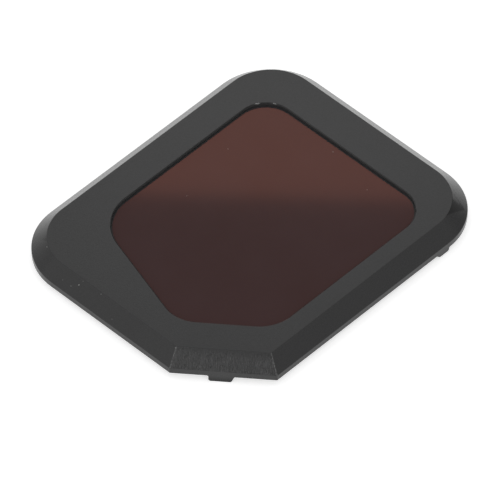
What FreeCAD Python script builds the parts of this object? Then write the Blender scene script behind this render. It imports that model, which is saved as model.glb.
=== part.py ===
import FreeCAD, Part
import math
import os
from collections import namedtuple

import Sketcher

# A neutral density filter that clips over the front of a small camera.
# X runs along the long side, Y along the short side and Z up through the front face.
# The origin is in the middle of the plan, on the plane that the tips of the claws rest on.
# The cut corner of the frame is at low X and low Y. All sizes are in millimetres and degrees.

SIZES = (
    # outline of the frame
    ("frame_length", "46.0"),
    ("frame_width", "38.0"),
    ("corner_radius", "8.1"),
    ("cut_run", "8.0"),
    ("cut_rise", "10.0"),
    # height of the frame: a plain wall below, a 45 degree bevel above
    ("wall_height", "0.8"),
    ("bevel", "1.9"),
    ("edge_radius", "0.1"),
    # five-sided window, by the width of the frame that is left on each side of it
    ("front_margin", "4.3"),
    ("right_margin", "7.0"),
    ("back_margin", "6.1"),
    ("cut_margin", "6.0"),
    ("slant_start", "10.1"),
    ("slant_angle", "16.3"),
    ("front_right_radius", "4.2"),
    ("back_right_radius", "3.9"),
    ("back_left_radius", "6.3"),
    ("left_radius", "4.7"),
    ("front_left_radius", "5.2"),
    ("rim_break", "0.1"),
    # pane and the pocket that it is glued into from behind
    ("lip", "0.47"),
    ("ledge", "1.1"),
    ("glass_thickness", "1.1"),
    ("glass_gap", "0.1"),
    ("glass_break", "0.12"),
    ("glass_sink", "0.05"),
    ("bead_width", "0.35"),
    ("bead_depth", "0.4"),
    # shallow seat at the back that drops over the front of the camera
    ("seat_wall", "1.2"),
    ("seat_corner", "0.6"),
    # claws that snap behind the camera's front plate
    ("claw_drop", "0.93"),
    ("claw_width", "3.1"),
    ("claw_lean", "0.38"),
    ("claw_radius", "0.3"),
    ("cut_claw_shift", "0.25"),
    ("barb_reach", "0.3"),
    ("barb_height", "0.35"),
    ("barb_slope", "0.2"),
    ("tip_thickness", "0.75"),
    # lug on the front wall that only locates the cover
    ("lug_drop", "0.53"),
    ("lug_width", "2.15"),
    ("lug_lean", "0.55"),
    ("lug_radius", "0.3"),
    ("lug_from_right", "9.25"),
    ("root_radius", "0.2"),
    # how far a claw's sketch reaches into the frame, and its cut past the claw
    ("claw_overlap", "0.2"),
)

# Levels above the tips of the claws
UNDERSIDE = "Sizes.claw_drop"
TOP = "Sizes.claw_drop + Sizes.wall_height + Sizes.bevel"
LIP_UNDERSIDE = f"{TOP} - Sizes.lip"
GLASS_UNDERSIDE = f"{LIP_UNDERSIDE} - Sizes.glass_thickness"
SEAT_FLOOR = f"{GLASS_UNDERSIDE} - Sizes.glass_sink"

# A straight side of a loop: the direction that it faces, how far it stands from the sketch's
# origin, and the radius of the corner between it and the next side
Side = namedtuple("Side", "name faces reach radius")

# A claw or lug: where it stands on the wall, how far it is turned from facing the front,
# and which end leans inwards, +1 for the right end as seen from outside or -1 for the left
Claw = namedtuple("Claw", "name x y turn lean_end kind barb")

SHARP = "0"

# Faces that meet at less than this angle, in radians, run into each other smoothly
SMOOTH_ANGLE = 0.05


def make_sheet(doc):
    """The sheet of driving dimensions, one row for each."""
    sheet = doc.addObject("Spreadsheet::Sheet", "Sizes")
    for row, (alias, size) in enumerate(SIZES, start=1):
        sheet.set(f"A{row}", alias)
        sheet.set(f"B{row}", size)
        sheet.setAlias(f"B{row}", alias)
    doc.recompute()
    return sheet


def worth(sheet, formula):
    """The number that a formula on the sheet gives, in millimetres or degrees."""
    result = sheet.evalExpression(formula)
    return float(getattr(result, "Value", result))


def grown(sides, growth, sharp_radius=SHARP):
    """The same loop moved outwards by a formula on every side, with its corners kept concentric."""
    moved = []
    for side in sides:
        radius = sharp_radius if side.radius == SHARP else f"{side.radius} + {growth}"
        moved.append(Side(side.name, side.faces, f"{side.reach} + {growth}", radius))
    return moved


def outline_sides():
    """The outer wall, whose cut corner has two sharp ends."""
    cut_length = "hypot(Sizes.cut_run; Sizes.cut_rise)"
    cut_reach = (
        "(Sizes.cut_rise * Sizes.frame_length / 2 + Sizes.cut_run * Sizes.frame_width / 2"
        f" - Sizes.cut_run * Sizes.cut_rise) / {cut_length}"
    )
    return [
        Side("front", "-90", "Sizes.frame_width / 2", "Sizes.corner_radius"),
        Side("right", "0", "Sizes.frame_length / 2", "Sizes.corner_radius"),
        Side("back", "90", "Sizes.frame_width / 2", "Sizes.corner_radius"),
        Side("left", "180", "Sizes.frame_length / 2", SHARP),
        Side("cut", "180 + atan(Sizes.cut_run / Sizes.cut_rise) / 1 deg", cut_reach, SHARP),
    ]


def window_sides():
    """The five-sided window, each side set in from the outline by its own margin."""
    front, right, back, _, cut = outline_sides()
    slant_reach = (
        "cos(Sizes.slant_angle * 1 deg) * (Sizes.frame_length / 2 - Sizes.slant_start)"
        " + sin(Sizes.slant_angle * 1 deg) * (Sizes.frame_width / 2 - Sizes.back_margin)"
    )
    return [
        Side("front", front.faces, f"{front.reach} - Sizes.front_margin", "Sizes.front_right_radius"),
        Side("right", right.faces, f"{right.reach} - Sizes.right_margin", "Sizes.back_right_radius"),
        Side("back", back.faces, f"{back.reach} - Sizes.back_margin", "Sizes.back_left_radius"),
        Side("slant", "180 - Sizes.slant_angle", slant_reach, "Sizes.left_radius"),
        Side("cut", cut.faces, f"{cut.reach} - Sizes.cut_margin", "Sizes.front_left_radius"),
    ]


def corner_between(sheet, side, following):
    """Where two sides' lines cross, their facing angles in radians, and the corner's radius."""
    angle = math.radians(worth(sheet, side.faces))
    next_angle = math.radians(worth(sheet, following.faces))
    reach = worth(sheet, side.reach)
    next_reach = worth(sheet, following.reach)
    cross = math.sin(next_angle - angle)
    x = (reach * math.sin(next_angle) - next_reach * math.sin(angle)) / cross
    y = (next_reach * math.cos(angle) - reach * math.cos(next_angle)) / cross
    return FreeCAD.Vector(x, y, 0), angle, next_angle, worth(sheet, side.radius)


def draw_loop(sheet, sketch, sides):
    """Straight sides joined by tangent arcs or sharp corners, anticlockwise, fully constrained."""
    corners = [corner_between(sheet, side, sides[(i + 1) % len(sides)]) for i, side in enumerate(sides)]
    starts, ends = [], []
    for point, angle, next_angle, radius in corners:
        turn = (next_angle - angle) % (2 * math.pi)
        setback = radius * math.tan(turn / 2)
        ends.append(point - FreeCAD.Vector(-math.sin(angle), math.cos(angle), 0) * setback)
        starts.append(point + FreeCAD.Vector(-math.sin(next_angle), math.cos(next_angle), 0) * setback)

    lines = [
        sketch.addGeometry(Part.LineSegment(starts[i - 1], ends[i]), False) for i in range(len(sides))
    ]
    for i, side in enumerate(sides):
        line, next_line = lines[i], lines[(i + 1) % len(sides)]
        _, angle, next_angle, radius = corners[i]
        if side.radius == SHARP:
            sketch.addConstraint(Sketcher.Constraint("Coincident", line, 2, next_line, 1))
            continue
        centre = ends[i] - FreeCAD.Vector(math.cos(angle), math.sin(angle), 0) * radius
        circle = Part.Circle(centre, FreeCAD.Vector(0, 0, 1), radius)
        turn = (next_angle - angle) % (2 * math.pi)
        arc = sketch.addGeometry(Part.ArcOfCircle(circle, angle, angle + turn), False)
        sketch.addConstraint(Sketcher.Constraint("Tangent", line, 2, arc, 1))
        sketch.addConstraint(Sketcher.Constraint("Tangent", arc, 2, next_line, 1))
        bind(sketch, Sketcher.Constraint("Radius", arc, radius), f"{side.name}_radius", side.radius)

    for line, side, (_, angle, _, _) in zip(lines, sides, corners):
        heading = Sketcher.Constraint("Angle", line, angle + math.pi / 2)
        bind(sketch, heading, f"{side.name}_heading", f"{side.faces} + 90")
        away = Sketcher.Constraint("Distance", -1, 1, line, worth(sheet, side.reach))
        bind(sketch, away, f"{side.name}_reach", side.reach)


def bind(sketch, constraint, name, formula):
    """Adds a named constraint whose value follows a formula on the sheet."""
    index = sketch.addConstraint(constraint)
    sketch.renameConstraint(index, name)
    sketch.setExpression(f"Constraints.{name}", formula)


def draw_polygon(sheet, sketch, points):
    """A closed outline of straight lines through points, each given as two formulas."""
    places = [FreeCAD.Vector(worth(sheet, x), worth(sheet, y), 0) for x, y in points]
    lines = [
        sketch.addGeometry(Part.LineSegment(place, places[(i + 1) % len(places)]), False)
        for i, place in enumerate(places)
    ]
    for i, (x, y) in enumerate(points):
        sketch.addConstraint(Sketcher.Constraint("Coincident", lines[i - 1], 2, lines[i], 1))
        across = Sketcher.Constraint("DistanceX", -1, 1, lines[i], 1, places[i].x)
        bind(sketch, across, f"across_{i}", x)
        along = Sketcher.Constraint("DistanceY", -1, 1, lines[i], 1, places[i].y)
        bind(sketch, along, f"along_{i}", y)


def new_sketch(body, name, plane_role, place, turn=None):
    """A sketch on one of the body's own origin planes, moved by formulas and turned about Z."""
    sketch = body.newObject("Sketcher::SketchObject", name)
    plane = next(f for f in body.Origin.OriginFeatures if f.Role == plane_role)
    sketch.AttachmentSupport = [(plane, "")]
    sketch.MapMode = "FlatFace"
    if turn is not None:
        axis = FreeCAD.Vector(0, 1, 0)
        sketch.AttachmentOffset = FreeCAD.Placement(FreeCAD.Vector(), FreeCAD.Rotation(axis, 1))
        sketch.setExpression("AttachmentOffset.Rotation.Angle", turn)
    for letter, formula in zip("xyz", place):
        sketch.setExpression(f"AttachmentOffset.Base.{letter}", formula)
    return sketch


def level_sketch(sheet, body, name, level, sides):
    """A loop drawn in plan at a level above the claws' tips."""
    sketch = new_sketch(body, name, "XY_Plane", ("0", "0", level))
    draw_loop(sheet, sketch, sides)
    return sketch


def extrude(body, kind, name, sketch, depth, reverse=False, both_ways=False):
    """A pad or a pocket of a given depth, checked to have added or removed material."""
    before = body.Tip.Shape.Volume if body.Tip else 0.0
    feature = body.newObject(kind, name)
    feature.Profile = sketch
    feature.Refine = True
    feature.Reversed = reverse
    if both_ways:
        feature.SideType = "Symmetric"
    feature.setExpression("Length", depth)
    body.Document.recompute()
    change = feature.Shape.Volume - before
    if change * (1 if kind == "PartDesign::Pad" else -1) <= 0:
        raise RuntimeError(f"{name} changed the volume the wrong way, by {change:.4f}")
    return feature


def dress(body, kind, name, size_name, size, edges):
    """A chamfer or fillet on named edges of the last feature."""
    base = body.Tip
    feature = body.newObject(kind, name)
    feature.Base = (base, edges)
    feature.setExpression(size_name, size)
    body.Document.recompute()
    return feature


def edge_names(shape, wanted):
    """The names of the shape's edges that pass a test."""
    return [f"Edge{i}" for i, edge in enumerate(shape.Edges, start=1) if wanted(edge)]


def lies_at(edge, level):
    """Whether an edge lies wholly at a level."""
    box = edge.BoundBox
    return abs(box.ZMin - level) < 1e-4 and abs(box.ZMax - level) < 1e-4


def crease_names(shape, wanted):
    """The names of the edges that pass a test and where two faces meet at an angle."""

    def is_crease(edge):
        point = edge.valueAt((edge.FirstParameter + edge.LastParameter) / 2)
        normals = []
        for face in shape.ancestorsOfType(edge, Part.Face):
            normals.append(face.normalAt(*face.Surface.parameter(point)))
        return wanted(edge) and normals[0].getAngle(normals[1]) > SMOOTH_ANGLE

    return edge_names(shape, is_crease)


def hole_edges(shape, level, looks_up):
    """The names of the edges round the hole in the flat face at a level."""
    for face in shape.Faces:
        flat = abs(face.BoundBox.ZMin - level) < 1e-4 and abs(face.BoundBox.ZMax - level) < 1e-4
        if not flat or len(face.Wires) < 2 or (face.normalAt(0, 0).z > 0) != looks_up:
            continue
        inner = [e for w in face.Wires if not w.isSame(face.OuterWire) for e in w.Edges]
        return edge_names(shape, lambda edge: any(edge.isSame(e) for e in inner))
    raise RuntimeError(f"no face with a hole at level {level:.3f}")


def claw_list():
    """The three claws and the lug, each on its own wall."""
    mid_cut_x = "(Sizes.cut_run - Sizes.frame_length) / 2"
    mid_cut_y = "(Sizes.cut_rise - Sizes.frame_width) / 2"
    cut_length = "hypot(Sizes.cut_run; Sizes.cut_rise)"
    cut_x = f"{mid_cut_x} - Sizes.cut_claw_shift * Sizes.cut_run / {cut_length}"
    cut_y = f"{mid_cut_y} + Sizes.cut_claw_shift * Sizes.cut_rise / {cut_length}"
    return [
        Claw("cut_claw", cut_x, cut_y, "-atan(Sizes.cut_rise / Sizes.cut_run)", 1, "claw", True),
        Claw("right_claw", "Sizes.frame_length / 2", "0", "90", 1, "claw", True),
        Claw("back_claw", "0", "Sizes.frame_width / 2", "180", 1, "claw", True),
        Claw(
            "front_lug",
            "Sizes.frame_length / 2 - Sizes.lug_from_right",
            "-Sizes.frame_width / 2",
            "0",
            -1,
            "lug",
            False,
        ),
    ]


def claw_profile(claw):
    """The claw as seen from outside: one upright end, one that leans in, and rounded tips."""
    drop, width, lean = (f"Sizes.{claw.kind}_{part}" for part in ("drop", "width", "lean"))
    radius = f"Sizes.{claw.kind}_radius"
    slope = f"atan({lean} / {drop}) / 1 deg"
    leaning_reach = f"{width} / 2 * cos(atan({lean} / {drop}))"
    right_leans = claw.lean_end > 0
    return [
        Side("tip", "-90", drop, radius),
        Side(
            "right_end",
            f"-({slope})" if right_leans else "0",
            leaning_reach if right_leans else f"{width} / 2",
            SHARP,
        ),
        Side("root", "90", "Sizes.claw_overlap", SHARP),
        Side(
            "left_end",
            "180" if right_leans else f"180 + {slope}",
            f"{width} / 2" if right_leans else leaning_reach,
            radius,
        ),
    ]


def add_claw(sheet, body, claw):
    """One claw hanging from the wall, with the barb that snaps behind the camera's plate."""
    place = (claw.x, UNDERSIDE, f"-({claw.y})")
    face = new_sketch(body, f"{claw.name}_face", "XZ_Plane", place, claw.turn)
    draw_loop(sheet, face, claw_profile(claw))
    thickness = "Sizes.seat_wall + Sizes.barb_reach" if claw.barb else "Sizes.seat_wall"
    extrude(body, "PartDesign::Pad", f"{claw.name}_pad", face, thickness, reverse=True)
    if not claw.barb:
        return

    section = new_sketch(body, f"{claw.name}_section", "YZ_Plane", (claw.y, "0", claw.x), claw.turn)
    beyond = "Sizes.seat_wall + Sizes.barb_reach + Sizes.claw_overlap"
    above = "Sizes.claw_drop + 2 * Sizes.claw_overlap"
    draw_polygon(
        sheet,
        section,
        (
            ("Sizes.tip_thickness", "0"),
            (beyond, "0"),
            (beyond, above),
            ("Sizes.seat_wall", above),
            ("Sizes.seat_wall", "Sizes.barb_height + Sizes.barb_slope"),
            ("Sizes.seat_wall + Sizes.barb_reach", "Sizes.barb_height"),
        ),
    )
    length = "Sizes.claw_width + 4 * Sizes.claw_overlap"
    extrude(body, "PartDesign::Pocket", f"{claw.name}_barb", section, length, both_ways=True)


def claw_roots(sheet, shape, claws):
    """The names of the edges where the claws' ends meet the underside of the frame."""
    underside = worth(sheet, UNDERSIDE)
    names = []
    for claw in claws:
        turn = math.radians(worth(sheet, claw.turn))
        along = FreeCAD.Vector(math.cos(turn), math.sin(turn), 0)
        anchor = FreeCAD.Vector(worth(sheet, claw.x), worth(sheet, claw.y), underside)
        half_width = worth(sheet, f"Sizes.{claw.kind}_width / 2")
        depth = worth(sheet, "Sizes.seat_wall")

        def is_root(edge):
            if not lies_at(edge, underside) or edge.Length > 1.5 * depth:
                return False
            middle = edge.valueAt((edge.FirstParameter + edge.LastParameter) / 2) - anchor
            run = edge.Vertexes[-1].Point - edge.Vertexes[0].Point
            across = abs(run.dot(along)) < 1e-3
            return across and abs(abs(middle.dot(along)) - half_width) < 1e-3 and middle.Length < 2 * half_width

        names += edge_names(shape, is_root)
    if len(names) != 2 * len(claws):
        raise RuntimeError(f"expected two root edges for each claw, found {len(names)}")
    return names


def make_frame(sheet, doc):
    """The frame: bevelled outline, window, pocket for the pane, seat for the camera, and claws."""
    body = doc.addObject("PartDesign::Body", "frame")
    outline = outline_sides()
    window = window_sides()

    sketch = level_sketch(sheet, body, "outline", UNDERSIDE, outline)
    blank = extrude(body, "PartDesign::Pad", "blank", sketch, "Sizes.wall_height + Sizes.bevel")
    top = worth(sheet, TOP)
    upper_edges = edge_names(blank.Shape, lambda edge: lies_at(edge, top))
    dress(body, "PartDesign::Chamfer", "outer_bevel", "Size", "Sizes.bevel", upper_edges)

    underside = worth(sheet, UNDERSIDE)
    creases = crease_names(body.Tip.Shape, lambda edge: not lies_at(edge, underside))
    dress(body, "PartDesign::Fillet", "softened_edges", "Radius", "Sizes.edge_radius", creases)

    sketch = level_sketch(sheet, body, "window", TOP, window)
    extrude(body, "PartDesign::Pocket", "window_cut", sketch, "Sizes.wall_height + Sizes.bevel")

    pane_pocket = grown(window, "Sizes.ledge")
    sketch = level_sketch(sheet, body, "pane_pocket", UNDERSIDE, pane_pocket)
    depth = f"{LIP_UNDERSIDE} - {UNDERSIDE}"
    extrude(body, "PartDesign::Pocket", "pane_pocket_cut", sketch, depth, reverse=True)

    bead_channel = grown(pane_pocket, "Sizes.bead_width")
    sketch = level_sketch(sheet, body, "bead_channel", UNDERSIDE, bead_channel)
    depth = f"{SEAT_FLOOR} + Sizes.bead_depth - {UNDERSIDE}"
    extrude(body, "PartDesign::Pocket", "bead_channel_cut", sketch, depth, reverse=True)

    seat = grown(outline, "(-Sizes.seat_wall)", "Sizes.seat_corner")
    sketch = level_sketch(sheet, body, "seat", UNDERSIDE, seat)
    extrude(body, "PartDesign::Pocket", "seat_cut", sketch, f"{SEAT_FLOOR} - {UNDERSIDE}", reverse=True)

    rim = hole_edges(body.Tip.Shape, top, looks_up=True)
    dress(body, "PartDesign::Chamfer", "rim_edge_break", "Size", "Sizes.rim_break", rim)

    claws = claw_list()
    for claw in claws:
        add_claw(sheet, body, claw)
    roots = claw_roots(sheet, body.Tip.Shape, claws)
    dress(body, "PartDesign::Fillet", "claw_root_fillets", "Radius", "Sizes.root_radius", roots)
    return body


def pane_sides():
    """The pane's outline: the window with its ledge, less the running gap all round."""
    return grown(window_sides(), "Sizes.ledge - Sizes.glass_gap")


def make_glass(sheet, doc):
    """The neutral density pane, seated against the lip from behind, with its edges broken."""
    body = doc.addObject("PartDesign::Body", "filter_glass")
    sketch = level_sketch(sheet, body, "pane", GLASS_UNDERSIDE, pane_sides())
    pane = extrude(body, "PartDesign::Pad", "pane_pad", sketch, "Sizes.glass_thickness")
    levels = (worth(sheet, GLASS_UNDERSIDE), worth(sheet, LIP_UNDERSIDE))
    edges = edge_names(pane.Shape, lambda edge: any(lies_at(edge, level) for level in levels))
    dress(body, "PartDesign::Chamfer", "pane_edge_break", "Size", "Sizes.glass_break", edges)
    return body


def make_bead(sheet, doc):
    """The ring of adhesive that fills the channel round the pane, struck off level with the seat."""
    body = doc.addObject("PartDesign::Body", "bond_bead")
    outer = grown(window_sides(), "Sizes.ledge + Sizes.bead_width")
    sketch = level_sketch(sheet, body, "bead_outer", SEAT_FLOOR, outer)
    extrude(body, "PartDesign::Pad", "bead_pad", sketch, "Sizes.bead_depth")
    sketch = level_sketch(sheet, body, "bead_inner", SEAT_FLOOR, pane_sides())
    extrude(body, "PartDesign::Pocket", "bead_cut", sketch, "Sizes.bead_depth", reverse=True)
    return body


def check(doc, bodies):
    """Stops the build if any feature failed or any piece isn't one valid solid."""
    for item in doc.Objects:
        if {"Invalid", "Error"} & set(item.State):
            raise RuntimeError(f"{item.Name} failed: {item.State}")
        if item.isDerivedFrom("Sketcher::SketchObject") and not item.FullyConstrained:
            raise RuntimeError(f"{item.Name} isn't fully constrained")
    for body in bodies:
        if body.Shape.isNull() or not body.Shape.isValid() or len(body.Shape.Solids) != 1:
            raise RuntimeError(f"{body.Name} isn't one valid solid")


def main():
    doc = FreeCAD.newDocument("neutral_density_filter")
    sheet = make_sheet(doc)
    bodies = [make_frame(sheet, doc), make_glass(sheet, doc), make_bead(sheet, doc)]
    doc.recompute()
    check(doc, bodies)
    os.makedirs("parts", exist_ok=True)
    for body in bodies:
        body.Shape.exportStep(f"parts/{body.Label}.step")
        print(f"{body.Label}: {body.Shape.Volume:.2f} mm3, {len(body.Shape.Faces)} faces")


main()
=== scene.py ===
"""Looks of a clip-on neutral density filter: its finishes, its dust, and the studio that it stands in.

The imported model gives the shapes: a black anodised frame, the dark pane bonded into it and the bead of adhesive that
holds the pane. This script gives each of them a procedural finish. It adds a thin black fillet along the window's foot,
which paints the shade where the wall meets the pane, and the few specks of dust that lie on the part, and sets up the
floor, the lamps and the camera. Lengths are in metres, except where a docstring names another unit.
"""

import logging
import math
from dataclasses import dataclass, field
from enum import Enum

import bpy
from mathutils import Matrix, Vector


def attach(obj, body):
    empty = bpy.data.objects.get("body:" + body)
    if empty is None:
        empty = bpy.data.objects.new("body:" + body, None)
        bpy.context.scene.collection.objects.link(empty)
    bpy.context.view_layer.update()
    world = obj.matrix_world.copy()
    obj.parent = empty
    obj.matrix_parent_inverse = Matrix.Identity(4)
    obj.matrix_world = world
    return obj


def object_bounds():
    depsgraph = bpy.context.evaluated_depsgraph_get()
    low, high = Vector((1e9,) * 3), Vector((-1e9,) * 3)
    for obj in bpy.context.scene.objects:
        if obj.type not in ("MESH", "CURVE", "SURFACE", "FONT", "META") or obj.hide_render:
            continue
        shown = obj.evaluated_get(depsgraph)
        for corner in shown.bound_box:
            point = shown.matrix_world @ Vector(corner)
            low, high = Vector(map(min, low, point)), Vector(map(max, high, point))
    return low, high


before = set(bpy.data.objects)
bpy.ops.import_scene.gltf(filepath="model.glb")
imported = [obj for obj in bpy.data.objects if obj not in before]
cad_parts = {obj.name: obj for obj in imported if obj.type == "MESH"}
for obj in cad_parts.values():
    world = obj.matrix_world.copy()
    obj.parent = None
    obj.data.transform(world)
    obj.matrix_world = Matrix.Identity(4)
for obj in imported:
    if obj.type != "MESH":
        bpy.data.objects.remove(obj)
cad_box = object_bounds()

Colour = tuple[float, float, float]
Triple = tuple[float, float, float]
Span = tuple[float, float]

MM = 0.001
PICTURE_SIDE = 500
NOISE_MIDDLE = 0.5
DARKEST, LIGHTEST = 0.5, 1.5
WHITE: Colour = (1.0, 1.0, 1.0)
MIDDLE: Triple = (0.0, 0.0, 0.0)
UP: Triple = (0.0, 0.0, 1.0)
DOWN: Triple = (0.0, 0.0, -1.0)

log = logging.getLogger("filter_scene")


class Axis(Enum):
    """Names of a vector's three parts, as a Separate XYZ node calls them."""

    ACROSS = "X"
    ALONG = "Y"
    HEIGHT = "Z"


class Ray(Enum):
    """Kinds of ray that see a surface directly, as a Light Path node calls them."""

    CAMERA = "Is Camera Ray"
    GLOSSY = "Is Glossy Ray"
    TRANSMISSION = "Is Transmission Ray"


class Ask(Enum):
    """Kinds of input that a node group asks for, by the type of their socket."""

    GEOMETRY = "NodeSocketGeometry"
    OBJECT = "NodeSocketObject"
    MATERIAL = "NodeSocketMaterial"
    NUMBER = "NodeSocketFloat"
    COUNT = "NodeSocketInt"


class PackedNode(Enum):
    """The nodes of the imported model."""

    FRAME = "frame"
    PANE = "filter_glass"
    BEAD = "bond_bead"


class Wire:
    """The value on one output socket, with arithmetic that adds Math nodes to its tree."""

    def __init__(self, graph: "Graph", socket: bpy.types.NodeSocket) -> None:
        """Wrap a socket.

        Args:
            graph: the tree that the socket belongs to.
            socket: the output socket to read.
        """
        self.graph = graph
        self.socket = socket

    def _math(self, operation: str, first: "Wire | float", second: "Wire | float" = 0.0) -> "Wire":
        """Add one Math node.

        Args:
            operation: the node's operation.
            first: its first value.
            second: its second value.

        Returns:
            The node's result.
        """
        return self.graph.add("ShaderNodeMath", {"operation": operation}, {0: first, 1: second})

    def __add__(self, other: "Wire | float") -> "Wire":
        """Sum of both."""
        return self._math("ADD", self, other)

    def __radd__(self, other: float) -> "Wire":
        """Sum of both."""
        return self._math("ADD", other, self)

    def __sub__(self, other: "Wire | float") -> "Wire":
        """This less the other."""
        return self._math("SUBTRACT", self, other)

    def __rsub__(self, other: float) -> "Wire":
        """The other less this."""
        return self._math("SUBTRACT", other, self)

    def __mul__(self, other: "Wire | float") -> "Wire":
        """Product of both."""
        return self._math("MULTIPLY", self, other)

    def __rmul__(self, other: float) -> "Wire":
        """Product of both."""
        return self._math("MULTIPLY", other, self)

    def __abs__(self) -> "Wire":
        """Distance from zero."""
        return self._math("ABSOLUTE", self)

    def highest(self, other: "Wire | float") -> "Wire":
        """The higher of both."""
        return self._math("MAXIMUM", self, other)

    def swing(self, share: float) -> "Wire":
        """How far noise strays from its middle, times a share."""
        return (self - NOISE_MIDDLE) * share

    def ramp(self, start: float, end: float) -> "Wire":
        """Rise smoothly from 0 at start to 1 at end; with start above end it falls.

        Args:
            start: value at which the result is 0.
            end: value at which the result is 1.

        Returns:
            The smooth step.
        """
        if start > end:
            return 1 - self.ramp(end, start)
        sockets = {"Value": self, "From Min": start, "From Max": end, "To Min": 0.0, "To Max": 1.0}
        return self.graph.add("ShaderNodeMapRange", {"interpolation_type": "SMOOTHSTEP"}, sockets)

    def part(self, axis: Axis) -> "Wire":
        """One part of a vector."""
        return self.graph.add("ShaderNodeSeparateXYZ", {}, {0: self}, axis.value)

    def dot(self, direction: Triple) -> "Wire":
        """How far a vector reaches in a fixed direction."""
        settings = {"operation": "DOT_PRODUCT"}
        return self.graph.add("ShaderNodeVectorMath", settings, {0: self, 1: direction}, "Value")

    def beside(self, output: str) -> "Wire":
        """Another output of the node that this value comes from."""
        return Wire(self.graph, self.socket.node.outputs[output])


class Graph:
    """A node tree that is written by one method."""

    def __init__(self, tree: bpy.types.NodeTree) -> None:
        """Start on an empty tree.

        Args:
            tree: the tree to write into; its nodes are cleared.
        """
        self.tree = tree
        tree.nodes.clear()

    def add(
        self,
        kind: str,
        settings: dict[str, object] | None = None,
        sockets: dict[str | int, object] | None = None,
        output: str | int = 0,
    ) -> Wire:
        """Add a node, set it up and connect it.

        Args:
            kind: the node's type.
            settings: the node's own settings, set before its sockets.
            sockets: values or wires for its inputs, by name or number.
            output: the output to return.

        Returns:
            The chosen output, or the node's first input where it has none.
        """
        node = self.tree.nodes.new(kind)
        for name, value in (settings or {}).items():
            setattr(node, name, value)
        for key, value in (sockets or {}).items():
            if isinstance(value, Wire):
                self.tree.links.new(value.socket, node.inputs[key])
            else:
                node.inputs[key].default_value = value
        return Wire(self, node.outputs[output] if node.outputs else node.inputs[0])

    def place(self) -> Wire:
        """The point's place on the object, in metres."""
        return self.add("ShaderNodeTexCoord", {}, {}, "Object")

    def facing(self) -> Wire:
        """The surface's direction on the object."""
        return self.add("ShaderNodeTexCoord", {}, {}, "Normal")

    def is_ray(self, ray: Ray) -> Wire:
        """One for rays of a kind, and zero for all others."""
        return self.add("ShaderNodeLightPath", {}, {}, ray.value)

    def join(self, across: Wire | float, along: Wire | float, up: Wire | float = 0.0) -> Wire:
        """The vector of three numbers."""
        return self.add("ShaderNodeCombineXYZ", {}, {0: across, 1: along, 2: up})

    def noise(self, place: Wire, pitch: float, detail: float = 2.0, roughness: float = 0.5) -> Wire:
        """Noise whose patches are about a pitch wide.

        Args:
            place: where the noise is read.
            pitch: width of a patch, in the units of place.
            detail: how many finer layers are added.
            roughness: how strong the finer layers are.

        Returns:
            Noise from 0 to 1, around its middle.
        """
        sockets = {"Vector": place, "Scale": 1 / pitch, "Detail": detail, "Roughness": roughness}
        return self.add("ShaderNodeTexNoise", {}, sockets, "Fac")

    def mix(self, share: Wire, low: Wire | Colour, high: Wire | Colour) -> Wire:
        """Blend two colours.

        Args:
            share: 0 gives the low colour and 1 the high one.
            low: colour at 0.
            high: colour at 1.

        Returns:
            The blended colour.
        """
        ends = [c if isinstance(c, Wire) else (*c, 1.0) for c in (low, high)]
        sockets = {"Factor": share, 6: ends[0], 7: ends[1]}
        return self.add("ShaderNodeMix", {"data_type": "RGBA"}, sockets, 2)

    def toned(self, tone: Wire, colour: Colour) -> Wire:
        """The colour, at its darkest where tone is 0 and at its lightest where tone is 1."""
        return self.mix(tone, tinted(colour, DARKEST), tinted(colour, LIGHTEST))

    def bump(self, height: Wire, distance: float) -> Wire:
        """Turn a height into a bent normal.

        Args:
            height: height from 0 to 1.
            distance: what a height of 1 stands for.

        Returns:
            The normal.
        """
        return self.add("ShaderNodeBump", {}, {"Height": height, "Distance": distance}, "Normal")

    def finish_surface(self, surface: Wire) -> None:
        """Join a shader to the material's output."""
        self.add("ShaderNodeOutputMaterial", {}, {"Surface": surface})

    def attribute(self, name: str) -> Wire:
        """The number that each point of the start mesh holds under a name."""
        return self.add("GeometryNodeInputNamedAttribute", {"data_type": "FLOAT"}, {"Name": name}, "Attribute")

    def draw(self, low: Wire | float, high: Wire | float, seed: Wire) -> Wire:
        """A random number between low and high for each point."""
        return self.add("FunctionNodeRandomValue", {"data_type": "FLOAT"}, {2: low, 3: high, "Seed": seed}, 1)

    def capture(self, points: Wire, values: dict[str, tuple[str, Wire]]) -> Wire:
        """Hold values on points, so that they stay when the points move.

        Args:
            points: the points.
            values: data type and wire of each value, by name.

        Returns:
            The points, with each value beside them.
        """
        node = self.add("GeometryNodeCaptureAttribute", {}, {"Geometry": points}, "Geometry").socket.node
        for name, (data_type, _) in values.items():
            node.capture_items.new(data_type, name)
        for name, (_, value) in values.items():
            self.tree.links.new(value.socket, node.inputs[name])
        return Wire(self, node.outputs["Geometry"])

    def give(self, name: str, geometry: Wire, finish: Wire) -> None:
        """End a node group with real, dressed geometry.

        Args:
            name: name of the group's output.
            geometry: what the group has made.
            finish: its material.
        """
        real = self.add("GeometryNodeRealizeInstances", {}, {"Geometry": geometry})
        dressed = self.add("GeometryNodeSetMaterial", {}, {"Geometry": real, "Material": finish})
        self.add("NodeGroupOutput", {}, {name: dressed})


def new_material(name: str) -> tuple[bpy.types.Material, Graph]:
    """Make an empty node material.

    Args:
        name: the material's name.

    Returns:
        The material and the graph of its tree.
    """
    material = bpy.data.materials.new(name)
    material.use_nodes = True
    return material, Graph(material.node_tree)


def tinted(colour: Colour, share: float) -> Colour:
    """The colour, made lighter or darker by a share."""
    return tuple(part * share for part in colour)


def seen_directly(graph: Graph) -> Wire:
    """One for the rays of the camera, of reflections and of glass, and zero for the light between surfaces.

    Args:
        graph: the tree that asks.

    Returns:
        The mask.
    """
    camera, glossy, transmission = (graph.is_ray(ray) for ray in Ray)
    return camera.highest(glossy).highest(transmission)


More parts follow.
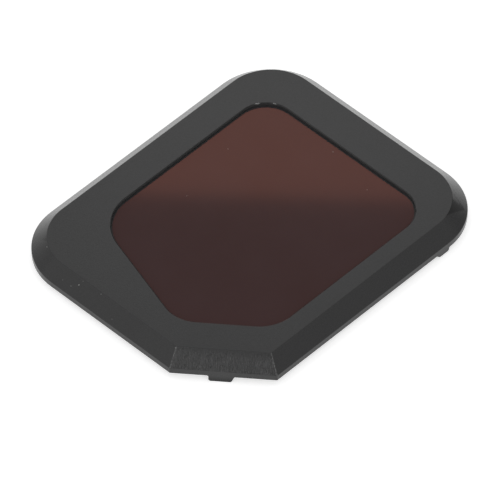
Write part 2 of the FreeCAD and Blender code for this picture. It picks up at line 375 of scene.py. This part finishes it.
@dataclass(frozen=True)
class CutCorner:
    """The facet across the cut corner in plan: its run and rise, and how far its top and its foot lie outwards."""

    run: float = 8.0
    rise: float = 10.0
    top: float = 21.68 * MM
    foot: float = 23.58 * MM

    def outward(self) -> tuple[float, float]:
        """Level direction that the facet faces."""
        length = math.hypot(self.run, self.rise)
        return -self.rise / length, -self.run / length


class FramePoint:
    """Where a point of the frame's surface lies, and which way the surface faces there."""

    def __init__(self, graph: Graph, cut: CutCorner) -> None:
        """Read the point.

        Args:
            graph: the material's tree.
            cut: the facet across the cut corner.
        """
        away_x, away_y = cut.outward()
        self.place, self.facing = graph.place(), graph.facing()
        self.across, self.along, self.level = (self.place.part(axis) for axis in Axis)
        self.upward = self.facing.part(Axis.HEIGHT)
        self.reach = self.place.dot((away_x, away_y, 0.0))
        self.side = self.place.dot((-away_y, away_x, 0.0))
        from_foot = cut.foot - self.reach
        self.past_left = self.across - cad_box[0].x - from_foot
        self.past_front = self.along - cad_box[0].y - from_foot


@dataclass(frozen=True)
class FrameZones:
    """Masks for the kinds of faces on the frame, each 1 on its own faces and 0 on the others."""

    top: Wire
    bevel: Wire
    rounding: Wire
    cut_corner: Wire
    outer_wall: Wire
    window_wall: Wire
    window_edge: Wire


@dataclass(frozen=True)
class AnodisedFinish:
    """Fine bead-blasted and black anodised aluminium, with cutter marks on the facet across the cut corner.

    A tone says how strongly a noise lightens and darkens the colour, and a depth how deep it goes in the relief. A span
    gives where a mask is 0 and where it is 1. Those of faces, and past_rounding, are shares by which a face looks up: 1
    for level faces, 0.7 for bevels and 0 for walls. That of towards_cut adds up how far it looks right and back. The
    lighter colours of the walls, the window's wall and the rounded edges are painted light, the bright mitre lines are
    a painted highlight, and the near-black window edge and the darker claws are painted shade.
    """

    name: str = "black_anodised_aluminium"
    cut: CutCorner = CutCorner()
    ior: float = 1.4

    colour: Colour = (0.012, 0.012, 0.0122)
    facet_colour: Colour = (0.0165, 0.0165, 0.0168)
    mitre_highlight_colour: Colour = (0.12, 0.12, 0.12)
    rounding_light_colour: Colour = (0.021, 0.021, 0.0213)
    wall_light_colour: Colour = (0.026, 0.026, 0.0265)
    cut_wall_light_colour: Colour = (0.057, 0.057, 0.0575)
    window_wall_light_colour: Colour = (0.043, 0.043, 0.044)
    edge_shade_colour: Colour = (0.001, 0.001, 0.001)

    roughness: float = 0.23
    roughness_play: float = 0.1
    top_roughness: float = 0.34
    window_roughness: float = 0.3
    edge_roughness: float = 0.09
    edge_polish: float = 0.7

    grain_pitch: float = 0.17 * MM
    grain_tone: float = 1.68
    wall_grain_tone: float = 0.84
    grain_depth: float = 0.012 * MM
    patch_pitch: float = 5 * MM
    patch_tone: float = 0.2
    streak_pitch: float = 0.085 * MM
    streak_stretch: float = 9.0
    streak_tone: float = 12.0
    streak_depth: float = 0.03 * MM
    streak_reach: Span = (21.48 * MM, 22.88 * MM)
    mitre_width: float = 0.09 * MM
    mitre_reach: Span = (21.18 * MM, 21.38 * MM)
    mitre_grain: Span = (0.35, 0.6)
    claw_height: Span = (1.1 * MM, 0.0)
    claw_shade: float = 0.9

    top_faces: Span = (0.85, 0.95)
    bevel_faces: Span = (0.5, 0.6)
    wall_faces: Span = (0.6, 0.4)
    rounding_faces: Span = (0.72, 0.8)
    past_rounding: Span = (0.99, 0.96)
    towards_cut: Span = (-0.05, -0.3)
    cut_fade: float = 0.05 * MM
    window_reach: Triple = (19.9 * MM, 17.0 * MM, 20.5 * MM)
    window_fade: float = 0.2 * MM

    def zones(self, point: FramePoint) -> FrameZones:
        """Tell the frame's faces apart.

        Args:
            point: a point of the frame's surface.

        Returns:
            The masks of the faces.
        """
        top = point.upward.ramp(*self.top_faces)
        wall = abs(point.upward).ramp(*self.wall_faces)

        cut_corner = point.reach.ramp(self.cut.top - self.cut_fade, self.cut.top + self.cut_fade)
        for past in (point.past_left, point.past_front):
            cut_corner = cut_corner * past.ramp(-self.cut_fade, self.cut_fade)

        ways = zip((abs(point.across), abs(point.along), point.reach), self.window_reach)
        across, along, outward = (way.ramp(limit, limit - self.window_fade) for way, limit in ways)
        by_window = across * along * outward

        towards_cut = (point.facing.part(Axis.ACROSS) + point.facing.part(Axis.ALONG)).ramp(*self.towards_cut)
        rounding = point.upward.ramp(*self.rounding_faces) * point.upward.ramp(*self.past_rounding)
        return FrameZones(
            top=top,
            bevel=point.upward.ramp(*self.bevel_faces) * (1 - top),
            rounding=rounding * towards_cut,
            cut_corner=cut_corner,
            outer_wall=wall * (1 - by_window),
            window_wall=wall * by_window,
            window_edge=by_window * (1 - wall) * (1 - top),
        )

    def streaks(self, graph: Graph, point: FramePoint, zones: FrameZones) -> Wire:
        """Draw the cutter marks that run down the facet across the cut corner.

        Args:
            graph: the material's tree.
            point: a point of the frame's surface.
            zones: the masks of the faces.

        Returns:
            The marks, around 0.
        """
        squeeze = 1 / self.streak_stretch
        lane = graph.join(point.side, point.reach * squeeze, point.level * squeeze)
        marks = graph.noise(lane, self.streak_pitch, detail=2.0, roughness=0.6)
        return marks.swing(1.0) * (zones.cut_corner * point.reach.ramp(*self.streak_reach))

    def painted_mitre_highlights(self, point: FramePoint, zones: FrameZones, grain: Wire) -> Wire:
        """Draw the painted highlight lines where the facet meets the bevels beside it.

        Args:
            point: a point of the frame's surface.
            zones: the masks of the faces.
            grain: the grain that breaks the lines up.

        Returns:
            The mask of the lines.
        """
        left, front = (abs(past).ramp(self.mitre_width, 0.0) for past in (point.past_left, point.past_front))
        lines = left.highest(front) * zones.bevel * point.reach.ramp(*self.mitre_reach)
        return lines * grain.ramp(*self.mitre_grain)

    def colours(self, graph: Graph, point: FramePoint, zones: FrameZones, grain: Wire, streaks: Wire) -> Wire:
        """Lay the colours of the faces over each other.

        Args:
            graph: the material's tree.
            point: a point of the frame's surface.
            zones: the masks of the faces.
            grain: the fine grain.
            streaks: the cutter marks.

        Returns:
            The colour.
        """
        patch = graph.noise(point.place, self.patch_pitch)
        tone = NOISE_MIDDLE + grain.swing(self.grain_tone) + patch.swing(self.patch_tone) + streaks * self.streak_tone
        skin = graph.mix(zones.cut_corner, graph.toned(tone, self.colour), graph.toned(tone, self.facet_colour))
        # painted highlight: bright lines along the mitres between the facet and the bevels
        skin = graph.mix(self.painted_mitre_highlights(point, zones, grain), skin, self.mitre_highlight_colour)
        # painted light: the rounded edges between top and bevel, on the side towards the cut, are coloured lighter to
        # lift their dark shading
        skin = graph.mix(zones.rounding, skin, self.rounding_light_colour)
        # painted light: the outer walls, and the cut corner's wall more, are coloured lighter than the top
        wall = graph.mix(zones.cut_corner, self.wall_light_colour, self.cut_wall_light_colour)
        wall = graph.mix(grain * self.wall_grain_tone, wall, tinted(self.wall_light_colour, DARKEST))
        colour = graph.mix(zones.outer_wall, skin, wall)
        on_claws = point.level.ramp(*self.claw_height) * self.claw_shade
        colour = graph.mix(on_claws, colour, tinted(self.colour, DARKEST))
        # painted light: the window's wall is coloured lighter than the top, against the shade in the recess
        colour = graph.mix(zones.window_wall, colour, self.window_wall_light_colour)
        # painted shade: the window's edge is near black, darker than the frame's own colour
        return graph.mix(zones.window_edge, colour, self.edge_shade_colour)

    def gloss(self, zones: FrameZones, grain: Wire) -> Wire:
        """Set how rough each face is.

        Args:
            zones: the masks of the faces.
            grain: the fine grain.

        Returns:
            The roughness.
        """
        rough = self.roughness + (self.top_roughness - self.roughness) * zones.top + grain.swing(self.roughness_play)
        rough = rough + (self.window_roughness - self.roughness) * zones.window_wall
        return rough + (self.edge_roughness - rough) * zones.window_edge

    def build(self) -> bpy.types.Material:
        """Make the material.

        Returns:
            The finished material.
        """
        material, graph = new_material(self.name)
        point = FramePoint(graph, self.cut)
        zones = self.zones(point)
        grain = graph.noise(point.place, self.grain_pitch, detail=3.0, roughness=0.6)
        streaks = self.streaks(graph, point, zones)
        blasted = grain * self.grain_depth * (1 - zones.window_edge * self.edge_polish)
        relief = blasted + streaks * self.streak_depth
        sockets = {
            "Base Color": self.colours(graph, point, zones, grain, streaks),
            "Roughness": self.gloss(zones, grain),
            "Normal": graph.bump(relief * (1 / self.streak_depth), self.streak_depth),
            "IOR": self.ior,
        }
        graph.finish_surface(graph.add("ShaderNodeBsdfPrincipled", {}, sockets))
        return material


@dataclass(frozen=True)
class PaneFinish:
    """Dark filter glass with a coating that reflects red-brown."""

    name: str = "neutral_density_glass"
    colour: Colour = (0.0225, 0.022, 0.0265)
    coating_tint: Colour = (1.0, 0.17, 0.0)
    roughness: float = 0.07
    roughness_play: float = 0.01
    cloud_pitch: float = 7 * MM
    cloud_tone: float = 0.32
    ior: float = 1.52
    specular: float = 0.284
    alpha: float = 0.97

    def build(self) -> bpy.types.Material:
        """Make the material.

        Returns:
            The finished material.
        """
        material, graph = new_material(self.name)
        cloud = graph.noise(graph.place(), self.cloud_pitch, detail=3.0)
        sockets = {
            "Base Color": graph.toned(NOISE_MIDDLE + cloud.swing(self.cloud_tone), self.colour),
            "Roughness": self.roughness + cloud.swing(self.roughness_play),
            "IOR": self.ior,
            "Specular IOR Level": self.specular,
            "Specular Tint": (*self.coating_tint, 1.0),
            "Alpha": self.alpha,
        }
        graph.finish_surface(graph.add("ShaderNodeBsdfPrincipled", {}, sockets))
        return material


@dataclass(frozen=True)
class AdhesiveAndShadeFinish:
    """Cured black adhesive, satin, with a slightly uneven skin; it also dresses the black fillet that paints shade at
    the window's foot.
    """

    name: str = "cured_black_adhesive"
    colour: Colour = (0.012, 0.012, 0.0125)
    shades: Span = (0.8, 1.3)
    roughness: float = 0.34
    roughness_play: float = 0.2
    ior: float = 1.45
    ripple_pitch: float = 1.1 * MM
    ripple_depth: float = 0.03 * MM

    def build(self) -> bpy.types.Material:
        """Make the material.

        Returns:
            The finished material.
        """
        material, graph = new_material(self.name)
        ripple = graph.noise(graph.place(), self.ripple_pitch, detail=3.0)
        dark, light = (tinted(self.colour, shade) for shade in self.shades)
        sockets = {
            "Base Color": graph.mix(ripple, dark, light),
            "Roughness": self.roughness + ripple.swing(self.roughness_play),
            "Normal": graph.bump(ripple, self.ripple_depth),
            "IOR": self.ior,
        }
        graph.finish_surface(graph.add("ShaderNodeBsdfPrincipled", {}, sockets))
        return material


@dataclass(frozen=True)
class DustFinish:
    """Pale, matte house dust."""

    name: str = "house_dust"
    colour: Colour = (0.42, 0.42, 0.405)
    shade: float = 0.6
    roughness: float = 0.85
    roughness_play: float = 0.1
    fluff_pitch: float = 0.05 * MM

    def build(self) -> bpy.types.Material:
        """Make the material.

        Returns:
            The finished material.
        """
        material, graph = new_material(self.name)
        fluff = graph.noise(graph.place(), self.fluff_pitch)
        sockets = {
            "Base Color": graph.mix(fluff, tinted(self.colour, self.shade), self.colour),
            "Roughness": self.roughness + fluff * self.roughness_play,
        }
        graph.finish_surface(graph.add("ShaderNodeBsdfPrincipled", {}, sockets))
        return material


@dataclass(frozen=True)
class FloorFinish:
    """White sheet that keeps its shadow, is lifted to white for the eye, and is clear from below."""

    name: str = "white_sheet"
    colour: Colour = (0.7, 0.7, 0.7)
    lift: float = 0.6

    def build(self) -> bpy.types.Material:
        """Make the material.

        Returns:
            The finished material.
        """
        material, graph = new_material(self.name)
        sheet = graph.add("ShaderNodeBsdfDiffuse", {}, {"Color": (*self.colour, 1.0)})
        strength = seen_directly(graph) * self.lift
        glow = graph.add("ShaderNodeEmission", {}, {"Color": (*WHITE, 1.0), "Strength": strength})
        upper = graph.add("ShaderNodeAddShader", {}, {0: sheet, 1: glow})
        from_below = graph.add("ShaderNodeNewGeometry", {}, {}, "Backfacing")
        clear = graph.add("ShaderNodeBsdfTransparent")
        graph.finish_surface(graph.add("ShaderNodeMixShader", {}, {0: from_below, 1: upper, 2: clear}))
        return material


def dress(node: PackedNode, material: bpy.types.Material) -> bpy.types.Object:
    """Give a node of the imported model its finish; its mesh stays as it is.

    Args:
        node: the node.
        material: the finish.

    Returns:
        The node's object.
    """
    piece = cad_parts[node.value]
    for slot in piece.material_slots:
        slot.material = material
    return piece


def start_mesh(
    name: str, points: list[Triple], edges: list[tuple[int, int]], label: str, numbers: list[float]
) -> bpy.types.Mesh:
    """Make the points that a node group starts from, each with a number of its own.

    Args:
        name: the mesh's name.
        points: places of the points.
        edges: pairs of points that are joined.
        label: name of the numbers.
        numbers: one number for each point.

    Returns:
        The mesh.
    """
    mesh = bpy.data.meshes.new(name)
    mesh.from_pydata(points, edges, [])
    attribute = mesh.attributes.new(label, "FLOAT", "POINT")
    for item, number in zip(attribute.data, numbers):
        item.value = number
    return mesh


def start_group(name: str, asks: dict[str, Ask], gives: str) -> tuple[Graph, dict[str, Wire]]:
    """Start a node group that makes geometry.

    Args:
        name: the group's name.
        asks: kind of each input, by name.
        gives: name of its output.

    Returns:
        The group's graph, and a wire from each input.
    """
    tree = bpy.data.node_groups.new(name, "GeometryNodeTree")
    for label, ask in asks.items():
        tree.interface.new_socket(label, in_out="INPUT", socket_type=ask.value)
    tree.interface.new_socket(gives, in_out="OUTPUT", socket_type=Ask.GEOMETRY.value)
    graph = Graph(tree)
    return graph, {label: graph.add("NodeGroupInput", {}, {}, label) for label in asks}


def settle(
    name: str, start: bpy.types.Mesh, tree: bpy.types.NodeTree, values: dict[str, object]
) -> bpy.types.Object:
    """Run a node group on a start mesh and keep its result as a plain mesh that rides with the part.

    The empty slot that the group leaves before its finish, where it leaves one, goes.

    Args:
        name: the piece's name.
        start: the mesh that the group starts from.
        tree: the node group.
        values: the group's inputs, by name.

    Returns:
        The finished piece.
    """
    source = bpy.data.objects.new(name + "_source", start)
    bpy.context.collection.objects.link(source)
    modifier = source.modifiers.new("make", "NODES")
    modifier.node_group = tree
    for item in tree.interface.items_tree:
        if item.in_out == "INPUT" and item.name in values:
            modifier[item.identifier] = values[item.name]
    depsgraph = bpy.context.evaluated_depsgraph_get()
    mesh = bpy.data.meshes.new_from_object(source.evaluated_get(depsgraph))
    source.modifiers.remove(modifier)
    bpy.data.objects.remove(source)
    mesh.name = name
    if mesh.materials[0] is None:
        mesh.materials.pop(index=0)
    piece = bpy.data.objects.new(name, mesh)
    bpy.context.collection.objects.link(piece)
    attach(piece, "root")
    return piece


@dataclass
class FilterFrame:
    """The frame: bevelled rim, window and clips, one machined piece."""

    finish: AnodisedFinish = field(default_factory=AnodisedFinish)

    def build(self) -> list[bpy.types.Object]:
        """Dress the frame."""
        return [dress(PackedNode.FRAME, self.finish.build())]


@dataclass
class FilterPane:
    """The dark pane and the adhesive that holds it in its seat."""

    finish: PaneFinish = field(default_factory=PaneFinish)
    bead_finish: AdhesiveAndShadeFinish = field(default_factory=AdhesiveAndShadeFinish)

    def build(self) -> list[bpy.types.Object]:
        """Dress the pane and the bead."""
        return [dress(PackedNode.PANE, self.finish.build()), dress(PackedNode.BEAD, self.bead_finish.build())]


@dataclass(frozen=True)
class WindowSide:
    """One side of the window in plan: the way it faces in degrees, its reach and its end corner in millimetres."""

    facing: float
    reach: float
    radius: float

    def outward(self) -> tuple[float, float]:
        """Direction that the side faces, away from the window's middle."""
        return math.cos(math.radians(self.facing)), math.sin(math.radians(self.facing))

    def meets(self, other: "WindowSide") -> tuple[float, float]:
        """Find the sharp corner of two sides.

        Args:
            other: the side that follows.

        Returns:
            The corner's place in plan, in millimetres.
        """
        (a, b), (c, d) = self.outward(), other.outward()
        share = a * d - b * c
        return (self.reach * d - other.reach * b) / share, (a * other.reach - c * self.reach) / share


WINDOW_SIDES = (
    WindowSide(-90.0, 14.7, 4.2),
    WindowSide(0.0, 16.0, 3.9),
    WindowSide(90.0, 12.9, 6.3),
    WindowSide(163.7, 16.0, 4.7),
    WindowSide(218.66, 17.58, 5.2),
)


@dataclass
class FootShadeFillet:
    """Thin black fillet on the pane along the foot of the window's wall: painted shade where the wall meets the pane.
    """

    name: str = "crept_bond"
    sides: tuple[WindowSide, ...] = WINDOW_SIDES
    level: float = 3.16 * MM
    width: float = 0.18 * MM
    thickness: float = 0.05 * MM
    lip: float = 0.012 * MM
    overlap: float = 0.05 * MM
    arc_steps: int = 20
    finish: AdhesiveAndShadeFinish = AdhesiveAndShadeFinish(
        name="foot_shade_black",
        colour=(0.012, 0.012, 0.0122),
        roughness=0.5,
        ior=1.28,
        ripple_pitch=0.4 * MM,
        ripple_depth=0.004 * MM,
    )

    def drawing(self) -> bpy.types.NodeTree:
        """Build the node group that rounds the outline's corners and draws the fillet along it.

        The section stands up the wall by the thickness, reaches into wall and pane by the overlap, and ends inwards
        in the thin lip. Across is counted outwards from the wall's face, and down from the pane's face.

        Returns:
            The node group, with named inputs for its sizes.
        """
        sizes = {name: Ask.NUMBER for name in ("Width", "Thickness", "Lip", "Overlap")}
        asks = {"Outline": Ask.GEOMETRY, **sizes, "Arc Steps": Ask.COUNT, "Finish": Ask.MATERIAL}
        graph, given = start_group(self.name + "_drawing", asks, "Fillet")

        path = graph.add("GeometryNodeMeshToCurve", {}, {"Mesh": given["Outline"]})
        level = graph.add("GeometryNodeSetCurveNormal", {"mode": "Z_UP"}, {"Curve": path})
        sockets = {"Curve": level, "Count": given["Arc Steps"], "Radius": graph.attribute("bend")}
        rounded = graph.add("GeometryNodeFilletCurve", {"mode": "POLY"}, sockets)

        outer, inner = given["Overlap"], given["Width"] * -1
        corners = ((outer, given["Thickness"] * -1), (outer, outer), (inner, outer), (inner, given["Lip"] * -1))
        points = {f"Point {number}": graph.join(across, down) for number, (across, down) in enumerate(corners, 1)}
        section = graph.add("GeometryNodeCurvePrimitiveQuadrilateral", {"mode": "POINTS"}, points)
        drawn = graph.add("GeometryNodeCurveToMesh", {}, {"Curve": rounded, "Profile Curve": section})
        graph.give("Fillet", drawn, given["Finish"])
        return graph.tree

    def build(self) -> list[bpy.types.Object]:
        """Make the fillet as one plain mesh that rides with the part.

        Returns:
            The finished piece.
        """
        corners = [side.meets(after) for side, after in zip(self.sides, self.sides[1:] + self.sides[:1])]
        points = [(x * MM, y * MM, self.level) for x, y in corners]
        edges = [(i, (i + 1) % len(points)) for i in range(len(points))]
        outline = start_mesh(self.name + "_outline", points, edges, "bend", [side.radius * MM for side in self.sides])
        values = {
            "Width": self.width,
            "Thickness": self.thickness,
            "Lip": self.lip,
            "Overlap": self.overlap,
            "Arc Steps": self.arc_steps,
            "Finish": self.finish.build(),
        }
        return [settle(self.name, outline, self.drawing(), values)]


@dataclass(frozen=True)
class Speck:
    """One speck of dust: its place seen from above and its length, in millimetres."""

    across: float
    along: float
    length: float


FRAME_SPECKS = (
    Speck(-20.4, 14.13, 0.14),
    Speck(-21.78, 7.35, 0.2),
    Speck(-22.26, 8.23, 0.09),
    Speck(-22.25, 9.6, 0.08),
    Speck(-21.3, 7.1, 0.08),
    Speck(-21.3, 4.1, 0.09),
    Speck(-22.48, 1.12, 0.08),
    Speck(-21.3, -8.3, 0.13),
)

PANE_SPECKS = (
    Speck(6.46, 9.97, 0.09),
    Speck(-2.57, 8.1, 0.1),
    Speck(14.96, 0.47, 0.12),
    Speck(13.26, -6.83, 0.1),
)


@dataclass
class DustSpecks:
    """Specks that lie on one piece, each seated on the surface under it.

    Flatness and breadth are shares of a speck's length, and sink is the share of its thickness under the surface.
    """

    name: str
    carrier: PackedNode
    specks: tuple[Speck, ...]
    finish: DustFinish = field(default_factory=DustFinish)
    drop_height: float = 6 * MM
    flatness: float = 0.35
    breadth: Span = (0.45, 0.8)
    sink: float = 0.3
    seed: int = 7

    def seating(self) -> bpy.types.NodeTree:
        """Build the node group that seats a flake under each point.

        The flake is one unit across, so that its scale is its size. Its middle lies half its thickness above the
        surface, less the share that sinks in.

        Returns:
            The node group, with named inputs for its sizes.
        """
        sizes = {name: Ask.NUMBER for name in ("Reach", "Flatness", "Sink", "Narrowest", "Broadest")}
        asks = {"Points": Ask.GEOMETRY, "Carrier": Ask.OBJECT, **sizes, "Seed": Ask.COUNT, "Finish": Ask.MATERIAL}
        graph, given = start_group(self.name + "_seating", asks, "Specks")

        sockets = {"Object": given["Carrier"]}
        surface = graph.add("GeometryNodeObjectInfo", {"transform_space": "RELATIVE"}, sockets, "Geometry")
        sockets = {"Target Geometry": surface, "Ray Direction": DOWN, "Ray Length": given["Reach"]}
        hit = graph.add("GeometryNodeRaycast", {"data_type": "FLOAT"}, sockets, "Hit Position")
        held = {"Facing": ("VECTOR", hit.beside("Hit Normal")), "Length": ("FLOAT", graph.attribute("length"))}
        points = graph.capture(given["Points"], held)
        facing, length = points.beside("Facing"), points.beside("Length")

        thickness = length * given["Flatness"]
        sockets = {0: facing, "Scale": thickness * (0.5 - given["Sink"])}
        lift = graph.add("ShaderNodeVectorMath", {"operation": "SCALE"}, sockets)
        seat = graph.add("ShaderNodeVectorMath", {"operation": "ADD"}, {0: hit, 1: lift})
        seated = graph.add("GeometryNodeSetPosition", {}, {"Geometry": points, "Position": seat})

        level = graph.add("FunctionNodeAlignRotationToVector", {"axis": "Z"}, {"Vector": facing})
        turn = graph.draw(0.0, math.tau, given["Seed"])
        spin = graph.add("FunctionNodeAxisAngleToRotation", {}, {"Axis": UP, "Angle": turn})
        turned = graph.add("FunctionNodeRotateRotation", {"rotation_space": "LOCAL"}, {0: level, 1: spin})
        breadth = graph.draw(given["Narrowest"], given["Broadest"], given["Seed"] + 1)
        size = graph.join(length, length * breadth, thickness)
        flake = graph.add("GeometryNodeMeshIcoSphere", {}, {"Radius": 0.5, "Subdivisions": 2}, "Mesh")
        sockets = {"Points": seated, "Instance": flake, "Rotation": turned, "Scale": size}
        laid = graph.add("GeometryNodeInstanceOnPoints", {}, sockets)
        graph.give("Specks", laid, given["Finish"])
        return graph.tree

    def build(self) -> list[bpy.types.Object]:
        """Make the specks as one plain mesh that rides with the part.

        Returns:
            The finished piece.
        """
        places = [(speck.across * MM, speck.along * MM, self.drop_height) for speck in self.specks]
        points = start_mesh(self.name + "_points", places, [], "length", [speck.length * MM for speck in self.specks])
        values = {
            "Carrier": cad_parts[self.carrier.value],
            "Reach": self.drop_height * 2,
            "Flatness": self.flatness,
            "Sink": self.sink,
            "Narrowest": self.breadth[0],
            "Broadest": self.breadth[1],
            "Seed": self.seed,
            "Finish": self.finish.build(),
        }
        piece = settle(self.name, points, self.seating(), values)
        for polygon in piece.data.polygons:
            polygon.use_smooth = True
        return [piece]


@dataclass(frozen=True)
class SoftLamp:
    """A rectangular lamp, aimed at a point, as bright as its radiance says. Lengths are in millimetres."""

    name: str
    centre: Triple
    width: float
    height: float
    radiance: float
    target: Triple = MIDDLE

    def build(self) -> bpy.types.Object:
        """Hang the lamp.

        Returns:
            The lamp's object.
        """
        data = bpy.data.lights.new(self.name, "AREA")
        data.shape = "RECTANGLE"
        data.size, data.size_y = self.width * MM, self.height * MM
        data.energy = self.radiance * math.pi * data.size * data.size_y
        lamp = bpy.data.objects.new(self.name, data)
        centre, target = Vector(self.centre) * MM, Vector(self.target) * MM
        lamp.location = centre
        lamp.rotation_mode = "QUATERNION"
        lamp.rotation_quaternion = (centre - target).to_track_quat("Z", "Y")
        bpy.context.collection.objects.link(lamp)
        return lamp


LAMPS = (
    SoftLamp("backdrop_lamp", (75.0, 72.5, 94.35), 76.0, 34.0, radiance=1.6, target=(-2.5, 2.6, 94.35)),
    SoftLamp("key_lamp", (-367.0, 236.0, 243.0), 300.0, 300.0, radiance=0.34),
    SoftLamp("right_glint_lamp", (-103.0, -364.5, 325.5), 90.0, 46.0, radiance=10.0),
    SoftLamp("left_glint_lamp", (-364.5, -103.0, 325.5), 90.0, 46.0, radiance=10.0),
)


@dataclass
class Studio:
    """White floor, soft lamps and an even dome around the part."""

    floor_side: float = 6000 * MM
    floor_finish: FloorFinish = field(default_factory=FloorFinish)
    dome_strength: float = 0.75
    dim_side: float = 0.43
    dim_across: Span = (0.6, 0.9)
    lamps: tuple[SoftLamp, ...] = LAMPS

    def floor(self) -> bpy.types.Object:
        """Lay the floor under the lowest point of the part.

        Returns:
            The floor's object.
        """
        half = self.floor_side / 2
        mesh = bpy.data.meshes.new("floor")
        mesh.from_pydata([(-half, -half, 0), (half, -half, 0), (half, half, 0), (-half, half, 0)], [], [(0, 1, 2, 3)])
        mesh.materials.append(self.floor_finish.build())
        floor = bpy.data.objects.new("floor", mesh)
        floor.location.z = cad_box[0].z
        bpy.context.collection.objects.link(floor)
        return floor

    def dome(self) -> bpy.types.World:
        """Light the world, show it white to the eye, and dim its right side in reflections.

        Rays find the dome by themselves, because its strength depends on the kind of ray.

        Returns:
            The world.
        """
        world = bpy.data.worlds.new("studio_dome")
        bpy.context.scene.world = world
        world.use_nodes = True
        world.cycles.sampling_method = "NONE"
        graph = Graph(world.node_tree)
        across = graph.add("ShaderNodeTexCoord", {}, {}, "Generated").part(Axis.ACROSS)
        dimmed = across.ramp(*self.dim_across) * (1 - graph.is_ray(Ray.CAMERA)) * self.dim_side
        light = self.dome_strength + (1.0 - self.dome_strength) * seen_directly(graph)
        sky = graph.add("ShaderNodeBackground", {}, {"Color": (*WHITE, 1.0), "Strength": light * (1 - dimmed)})
        graph.add("ShaderNodeOutputWorld", {}, {"Surface": sky})
        return world

    def build(self) -> list[bpy.types.Object]:
        """Set up floor, dome and lamps.

        Returns:
            The floor and the lamps.
        """
        floor = self.floor()
        self.dome()
        return [floor] + [lamp.build() for lamp in self.lamps]


@dataclass
class PhotoCamera:
    """A long lens, high over the cut corner.

    Angles are in degrees and lengths in millimetres. The part stands above the picture's middle by lowered pixels.
    """

    azimuth: float = -45.945
    elevation: float = 47.312
    distance: float = 964.2
    lens: float = 576.0
    sensor: float = 36.0
    centre: Triple = (0.0, 0.0, 0.93)
    lowered: float = 18.44
    nearest: float = 10.0
    farthest: float = 20000.0

    def build(self) -> bpy.types.Object:
        """Set up the camera.

        Returns:
            The camera's object.
        """
        turn, rise = math.radians(self.azimuth), math.radians(self.elevation)
        back = Vector((math.sin(turn) * math.cos(rise), -math.cos(turn) * math.cos(rise), math.sin(rise)))
        right = Vector((math.cos(turn), math.sin(turn), 0.0))
        upward = back.cross(right)
        per_pixel = self.sensor / self.lens * self.distance / PICTURE_SIDE
        centre = Vector(self.centre)
        eye = centre + back * self.distance
        aim = centre - upward * self.lowered * per_pixel
        data = bpy.data.cameras.new("photo_camera")
        data.lens, data.sensor_width = self.lens, self.sensor
        data.clip_start, data.clip_end = self.nearest * MM, self.farthest * MM
        camera = bpy.data.objects.new("photo_camera", data)
        camera.location = eye * MM
        camera.rotation_mode = "QUATERNION"
        camera.rotation_quaternion = (eye - aim).to_track_quat("Z", "Y")
        bpy.context.collection.objects.link(camera)
        bpy.context.scene.camera = camera
        return camera


def write_sizes() -> None:
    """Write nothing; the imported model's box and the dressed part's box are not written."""
    log.info("boxes written")


def main() -> None:
    """Build the pieces in order and report each of them."""
    logging.basicConfig(level=logging.INFO, format="%(name)s: %(message)s")
    bpy.context.scene.view_settings.view_transform = "Standard"
    camera = PhotoCamera().build()
    log.info("%s at %s m", camera.name, tuple(round(part, 4) for part in camera.location))
    assemblies = (
        FilterFrame(),
        FilterPane(),
        FootShadeFillet(),
        DustSpecks("frame_dust", PackedNode.FRAME, FRAME_SPECKS),
        DustSpecks("pane_dust", PackedNode.PANE, PANE_SPECKS, seed=11),
    )
    for assembly in assemblies:
        for piece in assembly.build():
            finish = piece.material_slots[0].material.name
            log.info("%s: %d faces in %s", piece.name, len(piece.data.polygons), finish)
    for fixture in Studio().build():
        log.info("studio has %s", fixture.name)
    write_sizes()


if __name__ == "__main__":
    main()
